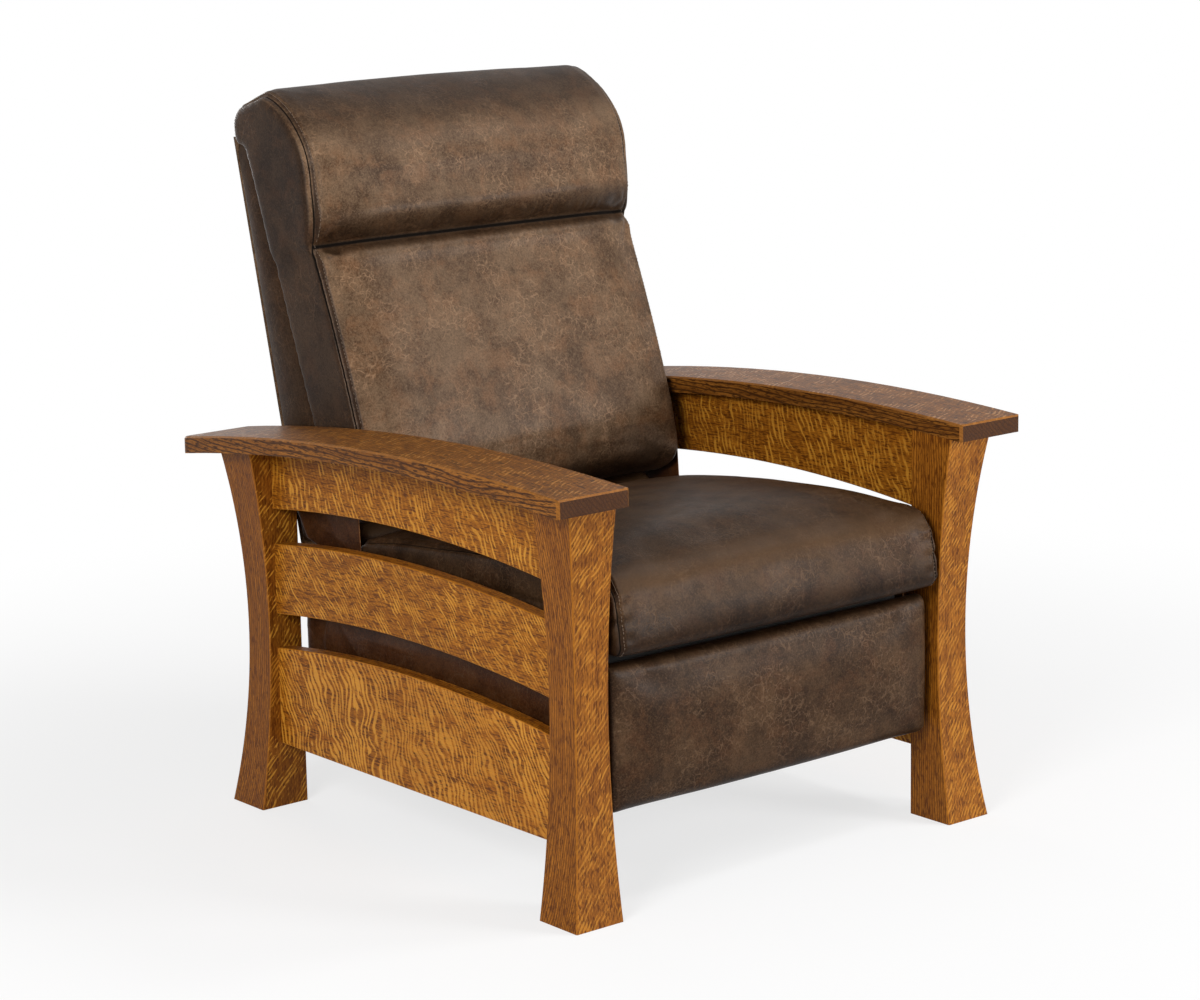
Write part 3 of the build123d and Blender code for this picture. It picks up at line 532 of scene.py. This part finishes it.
# The back's bands are painted shade under the headrest roll by the crease and across the top of the
# headrest
back_hide = leather("back_hide", 3.1, **base_leather,
                    bands=[(up_the_back, crease_place + 0.012, 0.050, 0.75),
                           (up_the_back, crease_place + 0.196, 0.05, 0.6)],
                    seams=[(up_the_back, crease_place, 0.0045, seam_x)] + side_seams)
footrest_hide = leather("footrest_hide", 4.3, **shaded_low_leather, shine=0.09)
black = steel("black_paint", tone(22, 22, 23), tone(38, 38, 39), 0.0, 0.45)
zinc = steel("zinc_plate", tone(150, 150, 146), tone(188, 188, 184), 1.0, 0.34)
spring = steel("spring_wire", tone(52, 50, 48), tone(84, 82, 80), 1.0, 0.4)
wood = bare_wood("bare_hardwood", 0.4, tone(150, 112, 76), tone(188, 152, 110))
stained_wood = bare_wood("stained_hardwood", 0.9, tone(26, 18, 12), tone(48, 34, 22))
webbing = woven("webbing_weave", tone(96, 74, 46), tone(150, 122, 82))
cloth = woven("black_cloth", tone(14, 13, 12), tone(30, 28, 26))
thread = steel("thread", tone(96, 78, 62), tone(128, 106, 86), 0.0, 0.6)
slot_materials = {"plain_wood": wood, "webbing": webbing, "spring_steel": spring, "zinc_steel": zinc,
                  "black_steel": black, "leather": hide}
slot_of = {part["node"]: part["material_slot"] for part in frame["record"]["subparts"]}
for index, name in enumerate(sorted(nodes)):
    kind = name.rsplit("_", 1)[0]
    if kind in boards:
        cad_paint(name, oak(name + "_oak", seed=0.37 * (index + 1), **boards[kind]))
    elif name == "footrest_board" or kind == "mounting_cleat":
        cad_paint(name, stained_wood)
    elif slot_of[name] in slot_materials:
        cad_paint(name, slot_materials[slot_of[name]])


# Mesh helpers
def points_of(piece):
    flat = np.empty(len(piece.data.vertices) * 3)
    piece.data.vertices.foreach_get("co", flat)
    return flat.reshape(-1, 3)


def normals_of(piece):
    flat = np.empty(len(piece.data.vertices) * 3)
    piece.data.vertices.foreach_get("normal", flat)
    return flat.reshape(-1, 3)


def place_points(piece, points):
    piece.data.vertices.foreach_set("co", np.ascontiguousarray(points).ravel())
    piece.data.update()


def settle(piece):
    """Turns the modifiers of a piece into its mesh."""
    shape = bpy.data.meshes.new_from_object(piece.evaluated_get(bpy.context.evaluated_depsgraph_get()))
    piece.modifiers.clear()
    piece.data = shape


def mesh_of(name, form):
    mesh = bpy.data.meshes.new(name)
    form.to_mesh(mesh)
    form.free()
    return mesh


def close_up(form):
    """Joins the points that meet, and turns every face outward."""
    bmesh.ops.remove_doubles(form, verts=form.verts, dist=weld_distance)
    bmesh.ops.recalc_face_normals(form, faces=form.faces)


def piece_of(name, mesh):
    piece = bpy.data.objects.new(name, mesh)
    scene.collection.objects.link(piece)
    return piece


def finish_piece(piece, body, material, replaced=()):
    for face in piece.data.polygons:
        face.use_smooth = True
    piece.data.materials.clear()
    piece.data.materials.append(material)
    if replaced:
        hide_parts(*replaced)
    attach(piece, body)


def copied(name, *sources):
    """One new piece with the shapes of some CAD nodes, remeshed evenly."""
    form = bmesh.new()
    for source in sources:
        form.from_mesh(nodes[source].data)
    piece = piece_of(name, mesh_of(name, form))
    skin = piece.modifiers.new("skin", "REMESH")
    skin.mode = "VOXEL"
    skin.voxel_size = voxel
    settle(piece)
    return piece


def relax(piece, rounds, share=0.5):
    smoothing = piece.modifiers.new("relax", "SMOOTH")
    smoothing.factor = share
    smoothing.iterations = rounds
    settle(piece)


def evened(piece, moves, rounds):
    """The moves of a mesh's points, each drawn towards its neighbours' some rounds."""
    ends = np.empty(len(piece.data.edges) * 2, np.int32)
    piece.data.edges.foreach_get("vertices", ends)
    first, second = ends.reshape(-1, 2).T
    neighbours = np.bincount(ends, minlength=len(moves))[:, None]
    for _ in range(rounds):
        total = np.stack([np.bincount(first, moves[second, axis], len(moves))
                          + np.bincount(second, moves[first, axis], len(moves))
                          for axis in range(3)], axis=1)
        moves = (moves + total / neighbours) / 2
    return moves


def swell(piece, held, cap, start_in):
    """Blows a piece up as cloth, and keeps what lies on its frame."""
    points = points_of(piece)
    still = held(points)
    push = np.where(still, 0.0, start_in)[:, None]
    rest = points - normals_of(piece) * push
    place_points(piece, rest)
    group = piece.vertex_groups.new(name="held")
    group.add([int(index) for index in np.flatnonzero(still)], 1.0, "REPLACE")
    cloth = piece.modifiers.new("cloth", "CLOTH")
    cloth.settings.quality = 4
    cloth.settings.mass = 0.4
    cloth.settings.tension_stiffness = 12.0
    cloth.settings.compression_stiffness = 12.0
    cloth.settings.bending_stiffness = 1.5
    cloth.settings.vertex_group_mass = "held"
    cloth.settings.use_pressure = True
    cloth.settings.uniform_pressure_force = sim_pressure
    cloth.settings.effector_weights.gravity = 0.0
    cloth.point_cache.frame_start = 1
    cloth.point_cache.frame_end = sim_frames
    for step in range(1, sim_frames + 1):
        scene.frame_set(step)
    settle(piece)
    piece.vertex_groups.clear()
    scene.frame_set(1)
    moves = points_of(piece) - rest
    reach = np.maximum(np.linalg.norm(moves, axis=1), 1e-9)[:, None]
    moves = moves / reach * cap * np.tanh(reach / cap) + rest - points
    moves[:, 0] *= width_give
    place_points(piece, points + (1 - crumple) * evened(piece, moves, even_rounds) + crumple * moves)


def subdivide(piece):
    finer = piece.modifiers.new("finer", "SUBSURF")
    finer.levels = 1
    finer.render_levels = 1
    settle(piece)


def hill(value, middle, reach):
    """One at the middle, and falling off smoothly on both sides."""
    return np.exp(-((value - middle) / reach) ** 2)


def groove(distance, half_width, depth, lip):
    """How far a seam draws the leather in, and lifts it beside the seam."""
    share = distance / half_width
    return lip * hill(share, 2.2, 0.9) - depth * hill(share, 0.0, 1.0)


def displace(piece, amount):
    place_points(piece, points_of(piece) + normals_of(piece) * amount[:, None])


def smooth_share(value, low, high):
    share = np.clip((value - low) / (high - low), 0.0, 1.0)
    return share * share * (3 - 2 * share)


def stitches(name, tree, centre, angles, body):
    """A row of short thread inside each side seam, followed between two angles round a centre."""
    thread_length = 0.0034
    thread_radius = 0.00042
    thread_sides = 6
    form = bmesh.new()
    for side in (-1, 1):
        x = side * (seam_x - stitch_offset)
        spots = []
        for angle in np.linspace(angles[0], angles[1], 400):
            outward = Vector((0.0, cos(angle), sin(angle)))
            start = Vector((x, centre[0], centre[1])) + outward * 1.2
            spot, normal, _, _ = tree.ray_cast(start, -outward, 1.3)
            if spot is not None:
                spots.append((spot, normal))
        travelled = 0.0
        for (spot, normal), (following, _) in zip(spots, spots[1:]):
            travelled += (following - spot).length
            if travelled < stitch_pitch:
                continue
            travelled -= stitch_pitch
            along = (following - spot).normalized()
            across = normal.cross(along).normalized()
            corners = []
            for end in (-0.5, 0.0, 0.5):
                lift = thread_radius * (0.9 if end == 0.0 else 0.1)
                size = thread_radius * (1.0 if end == 0.0 else 0.6)
                middle = spot + along * (end * thread_length) + normal * lift
                corners.append([form.verts.new(middle + across * (size * cos(turn))
                                               + normal * (size * sin(turn)))
                                for turn in np.arange(thread_sides) * 2 * pi / thread_sides])
            for ring, next_ring in zip(corners, corners[1:]):
                for index in range(thread_sides):
                    other = (index + 1) % thread_sides
                    form.faces.new((ring[index], ring[other], next_ring[other], next_ring[index]))
            form.faces.new(list(reversed(corners[0])))
            form.faces.new(corners[-1])
    finish_piece(piece_of(name, mesh_of(name, form)), body, thread)


def tree_of(piece):
    form = bmesh.new()
    form.from_mesh(piece.data)
    tree = BVHTree.FromBMesh(form)
    form.free()
    return tree


def narrowed(points, limit):
    """Keeps a swollen piece within a half width, with sides that stay a little round."""
    ease = 0.008
    over = np.maximum(np.abs(points[:, 0]) - (limit - ease), 0.0)
    inner = np.minimum(np.abs(points[:, 0]), limit - ease)
    points[:, 0] = np.sign(points[:, 0]) * (inner + ease * np.tanh(over / ease))
    return points


def wrinkle(distance, sharpness):
    """A sharp fold: one on its line, and falling off on both sides."""
    return np.exp(-np.abs(distance) / sharpness)


def make_seat():
    """A swollen pad with a seam down each side of its rolled front, and a belt round its foot."""
    low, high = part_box("seat_cushion")
    piece = copied("seat_leather", "seat_cushion")
    relax(piece, 4)
    swell(piece, lambda p: (p[:, 2] < low[2] + held_rim) | (p[:, 1] > high[1] - held_rim),
          cap=0.022, start_in=0.004)
    subdivide(piece)
    relax(piece, 2)
    points = narrowed(points_of(piece), high[0] + 0.001)
    place_points(piece, points)
    from_seam = np.abs(np.abs(points[:, 0]) - seam_x)
    clear = smooth_share(points[:, 2], low[2] + 0.002, low[2] + 0.02)
    front = smooth_share(points[:, 1], low[1] + 0.14, low[1] + 0.02)
    seam = groove(from_seam, seam_half_width, seam_depth, seam_lip)
    pulls = 0.0010 * np.sin(points[:, 2] * 260.0 + np.sin(points[:, 1] * 40.0) * 2.0)
    pulls *= hill(from_seam, 0.012, 0.011) * front
    beside = smooth_share(np.abs(points[:, 0]), high[0] - 0.012, high[0] - 0.002)
    belt = -0.0022 * hill(points[:, 2] - low[2], 0.052, 0.0028) * beside
    displace(piece, (seam + pulls) * clear + belt)
    finish_piece(piece, "seat", seat_hide, ["seat_cushion"])
    middle = (low[1] + high[1]) / 2, (low[2] + high[2]) / 2
    stitches("seat_stitches", tree_of(piece), middle, (radians(20), radians(200)), "seat")


def make_back():
    """The back cushion and the headrest in one piece, with the crease between them and the side seams."""
    piece = copied("back_leather", "back_cushion", "headrest_cushion")
    relax(piece, 4)
    swell(piece, lambda p: back_depth(p) < 0.05 + 0.13 * (1 - smooth_share(back_height(p), -0.18, 0.44)),
          cap=0.024, start_in=0.004)
    subdivide(piece)
    relax(piece, 2)
    points = points_of(piece)
    between_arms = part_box("arm_left")[0][0] - 0.002
    above_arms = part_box("headrest_cushion")[1][0] + 0.003
    free = smooth_share(points[:, 2], 0.63, 0.70)
    points = narrowed(points, between_arms + (above_arms - between_arms) * free)
    corner = smooth_share(np.abs(points[:, 0]), 0.280, 0.330)
    corner *= smooth_share(back_height(points), 0.36, 0.46)
    points -= back_up * (corner_drop * corner)[:, None]
    place_points(piece, points)
    depth = back_depth(points)
    fore = smooth_share(depth, 0.09, 0.14)
    over_crease = back_height(points) - crease_height
    inside = 1 - smooth_share(np.abs(points[:, 0]), seam_x - 0.02, seam_x + 0.006)
    crease = -crease_depth * wrinkle(over_crease, 0.0065) * (0.12 + 0.88 * inside) * fore
    roll = 0.009 * hill(over_crease, 0.040, 0.022) * fore * inside
    lip = 0.004 * hill(over_crease, -0.022, 0.014) * fore * inside
    from_seam = np.abs(np.abs(points[:, 0]) - seam_x)
    seam = groove(from_seam, seam_half_width, seam_depth, seam_lip) * smooth_share(depth, 0.03, 0.08)
    from_end = np.hypot(seam_x - np.abs(points[:, 0]), over_crease)
    turn = np.arctan2(over_crease, seam_x - np.abs(points[:, 0]) + 1e-6)
    fan = 0.0018 * np.sin(turn * 9.0 + 1.2) * hill(from_end, 0.030, 0.018) * fore * inside
    puckers = 0.0008 * np.sin(points[:, 0] * 330.0 + np.sin(points[:, 0] * 61.0) * 3.0)
    puckers *= hill(np.abs(over_crease), 0.012, 0.009) * fore * inside
    displace(piece, crease + roll + lip + seam + fan + puckers)
    finish_piece(piece, "back", back_hide, ["back_cushion", "headrest_cushion"])
    centre = back_origin + 0.08 * back_forward + 0.2 * back_up
    stitches("back_stitches", tree_of(piece), centre[1:], (radians(60), radians(245)), "back")


def make_footrest():
    """The swollen front panel, with a fuller upper and lower edge."""
    low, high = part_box("footrest_cushion")
    piece = copied("footrest_leather", "footrest_cushion")
    relax(piece, 3)
    swell(piece, lambda p: p[:, 1] > high[1] - held_rim, cap=0.012, start_in=0.003)
    subdivide(piece)
    relax(piece, 2)
    points = narrowed(points_of(piece), high[0] + 0.002)
    points[:, 2] = np.clip(points[:, 2], low[2] - 0.001, high[2] + 0.001)
    points[:, 2] += 0.0035 * smooth_share(points[:, 2], high[2] - 0.05, high[2])
    points[:, 2] -= 0.0055 * smooth_share(points[:, 2], low[2] + 0.06, low[2])
    place_points(piece, points)
    finish_piece(piece, "footrest", footrest_hide, ["footrest_cushion"])


def make_panel(name, patch, outward, thickness, crown, counts, folds=None):
    """A flat closed shell with rounded borders and a crown. patch(u, v) gives its middle for u and v from
    -1 to 1, and folds(u, v) what stands out of it."""
    us = np.sin(np.linspace(-pi / 2, pi / 2, counts[0]))
    vs = np.sin(np.linspace(-pi / 2, pi / 2, counts[1]))
    outward = np.array(outward, float)
    verts = []
    faces = []
    for side in (1, -1):
        for u in us:
            for v in vs:
                border = max(abs(u), abs(v)) ** 24
                half = thickness / 2 * np.sqrt(max(1 - border, 0.0))
                rise = crown * (1 - u * u) * (1 - v * v) if side == 1 else 0.0
                if folds and side == 1:
                    rise += folds(u, v) * (1 - border)
                verts.append(tuple(np.array(patch(u, v)) + outward * (side * half + rise)))
    count = len(us) * len(vs)
    for side in (0, 1):
        for i in range(len(us) - 1):
            for j in range(len(vs) - 1):
                corner = side * count + i * len(vs) + j
                quad = (corner, corner + 1, corner + len(vs) + 1, corner + len(vs))
                faces.append(quad if side else tuple(reversed(quad)))
    mesh = bpy.data.meshes.new(name)
    mesh.from_pydata(verts, [], faces)
    form = bmesh.new()
    form.from_mesh(mesh)
    close_up(form)
    form.to_mesh(mesh)
    form.free()
    return piece_of(name, mesh)


def make_rear_cover():
    foot, top, half_width, thickness = -0.225, 0.451, 0.305, 0.008

    def patch(u, v):
        height = foot + (top - foot) * (v + 1) / 2
        middle = back_origin + back_up * height + back_forward * thickness / 2
        return middle + np.array((u * half_width, 0, 0))

    piece = make_panel("rear_cover_leather", patch, -back_forward, thickness, 0.005, (48, 54))
    finish_piece(piece, "back", hide, ["rear_cover"])


def make_side_covers():
    low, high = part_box("back_side_cover_left")
    foot, top = -0.186, 0.440
    depth_foot, depth_top, rear = 0.1215, 0.042, 0.008
    middle_x = (low[0] + high[0]) / 2
    for side, word in ((1, "left"), (-1, "right")):
        def patch(u, v):
            height = foot + (top - foot) * (v + 1) / 2
            depth = depth_foot + (depth_top - depth_foot) * (v + 1) / 2
            forward = rear + (depth - rear) * (u + 1) / 2
            place = back_origin + back_up * height + back_forward * forward
            return place + np.array((side * middle_x, 0, 0))

        piece = make_panel("side_cover_leather_" + word, patch, (side, 0, 0), high[0] - low[0], 0.005,
                           (20, 60))
        finish_piece(piece, "back", hide, ["back_side_cover_" + word])


def make_side_panels():
    for side, word in ((1, "left"), (-1, "right")):
        low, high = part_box("side_panel_" + word)
        middle_x = (low[0] + high[0]) / 2

        def patch(u, v):
            return np.array((middle_x, low[1] + (high[1] - low[1]) * (u + 1) / 2,
                             low[2] + (high[2] - low[2]) * (v + 1) / 2))

        def folds(u, v):
            """A loose fold near the rear end, and two faint ones along the top."""
            sharp = 0.0085 * wrinkle(u - 0.80 + 0.16 * (v + 0.3) ** 2, 0.035) * smooth_share(v, -0.9, 0.2)
            second = 0.0060 * wrinkle(u - 0.62 - 0.22 * v, 0.045) * smooth_share(v, -0.9, 0.0)
            loose = 0.0040 * wrinkle(v - 0.10 + 0.25 * (u - 0.45), 0.07) * smooth_share(u, -0.6, 0.5)
            return np.maximum(sharp, np.maximum(second, loose))

        piece = make_panel("side_panel_leather_" + word, patch, (side, 0, 0), high[0] - low[0], 0.004,
                           (120, 34), folds)
        finish_piece(piece, "frame", slot_hide, ["side_panel_" + word])


def make_gussets():
    """Leather on each side that closes the gap between the back and the seat."""
    hinge = Vector((0.0, 0.203, 0.390))
    seat_rear, seat_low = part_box("seat_cushion")[1][1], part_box("seat_cushion")[0][2]
    front_low = np.array((0.0, seat_rear - 0.022, seat_low + 0.013))
    rear_low = np.array((0.0, hinge.y + 0.092, hinge.z + 0.036))
    rear_high = back_origin - 0.085 * back_up + 0.012 * back_forward
    front_high = back_origin - 0.085 * back_up + 0.205 * back_forward
    inner, outer = 0.3168, 0.3206
    for side, word in ((1, "left"), (-1, "right")):
        def patch(u, v):
            across, upward = (u + 1) / 2, (v + 1) / 2
            low = front_low + (rear_low - front_low) * across
            high = front_high + (rear_high - front_high) * across
            return low + (high - low) * upward + np.array((side * (inner + outer) / 2, 0, 0))

        def folds(u, v):
            fore = 1 - smooth_share(u, 0.35, 0.7)
            sharp = 0.0035 * wrinkle(u + 0.05 - 0.55 * v, 0.035) * smooth_share(v, -1.0, 0.3)
            low_fold = 0.0025 * wrinkle(v + 0.35 - 0.3 * u, 0.06)
            return (sharp + low_fold) * fore

        piece = make_panel("gusset_leather_" + word, patch, (side, 0, 0), outer - inner, 0.0015, (44, 34),
                           folds)
        finish_piece(piece, "back", slot_hide)


def make_foot_roll():
    """A soft roll under the back cushion, on which the leather turns in."""
    half_length, radius = 0.296, 0.030
    centre = np.array((0.0, 0.2140, 0.4290))
    turns, rings = 36, 60
    form = bmesh.new()
    sections = []
    for share in np.sin(np.linspace(-pi / 2, pi / 2, rings)):
        size = radius * (1 - abs(share) ** 40) ** 0.5
        x = share * half_length
        sections.append([form.verts.new((x, centre[1] + size * 1.15 * cos(turn),
                                         centre[2] + size * sin(turn)))
                         for turn in np.arange(turns) * 2 * pi / turns])
    for ring, following in zip(sections, sections[1:]):
        for index in range(turns):
            other = (index + 1) % turns
            form.faces.new((ring[index], following[index], following[other], ring[other]))
    close_up(form)
    piece = piece_of("foot_roll_leather", mesh_of("foot_roll", form))
    finish_piece(piece, "back", seat_hide)


def make_valance():
    """Black cloth on the front of the seat's first cross rail, seen over the footrest."""
    low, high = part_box("seat_cross_rails")
    half_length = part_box("seat_side_rail_left")[1][0] - 0.001
    thickness = 0.0016

    def patch(u, v):
        bottom, top = high[2] - 0.022, high[2] + 0.002
        return np.array((u * half_length, low[1] - thickness / 2 - 0.0003,
                         bottom + (top - bottom) * (v + 1) / 2))

    piece = make_panel("seat_valance", patch, (0, -1, 0), thickness, 0.0, (40, 8))
    finish_piece(piece, "seat", cloth)


make_seat()
make_back()
make_footrest()
make_rear_cover()
make_side_covers()
make_side_panels()
make_gussets()
make_foot_roll()
make_valance()

scene.view_settings.view_transform = "Standard"
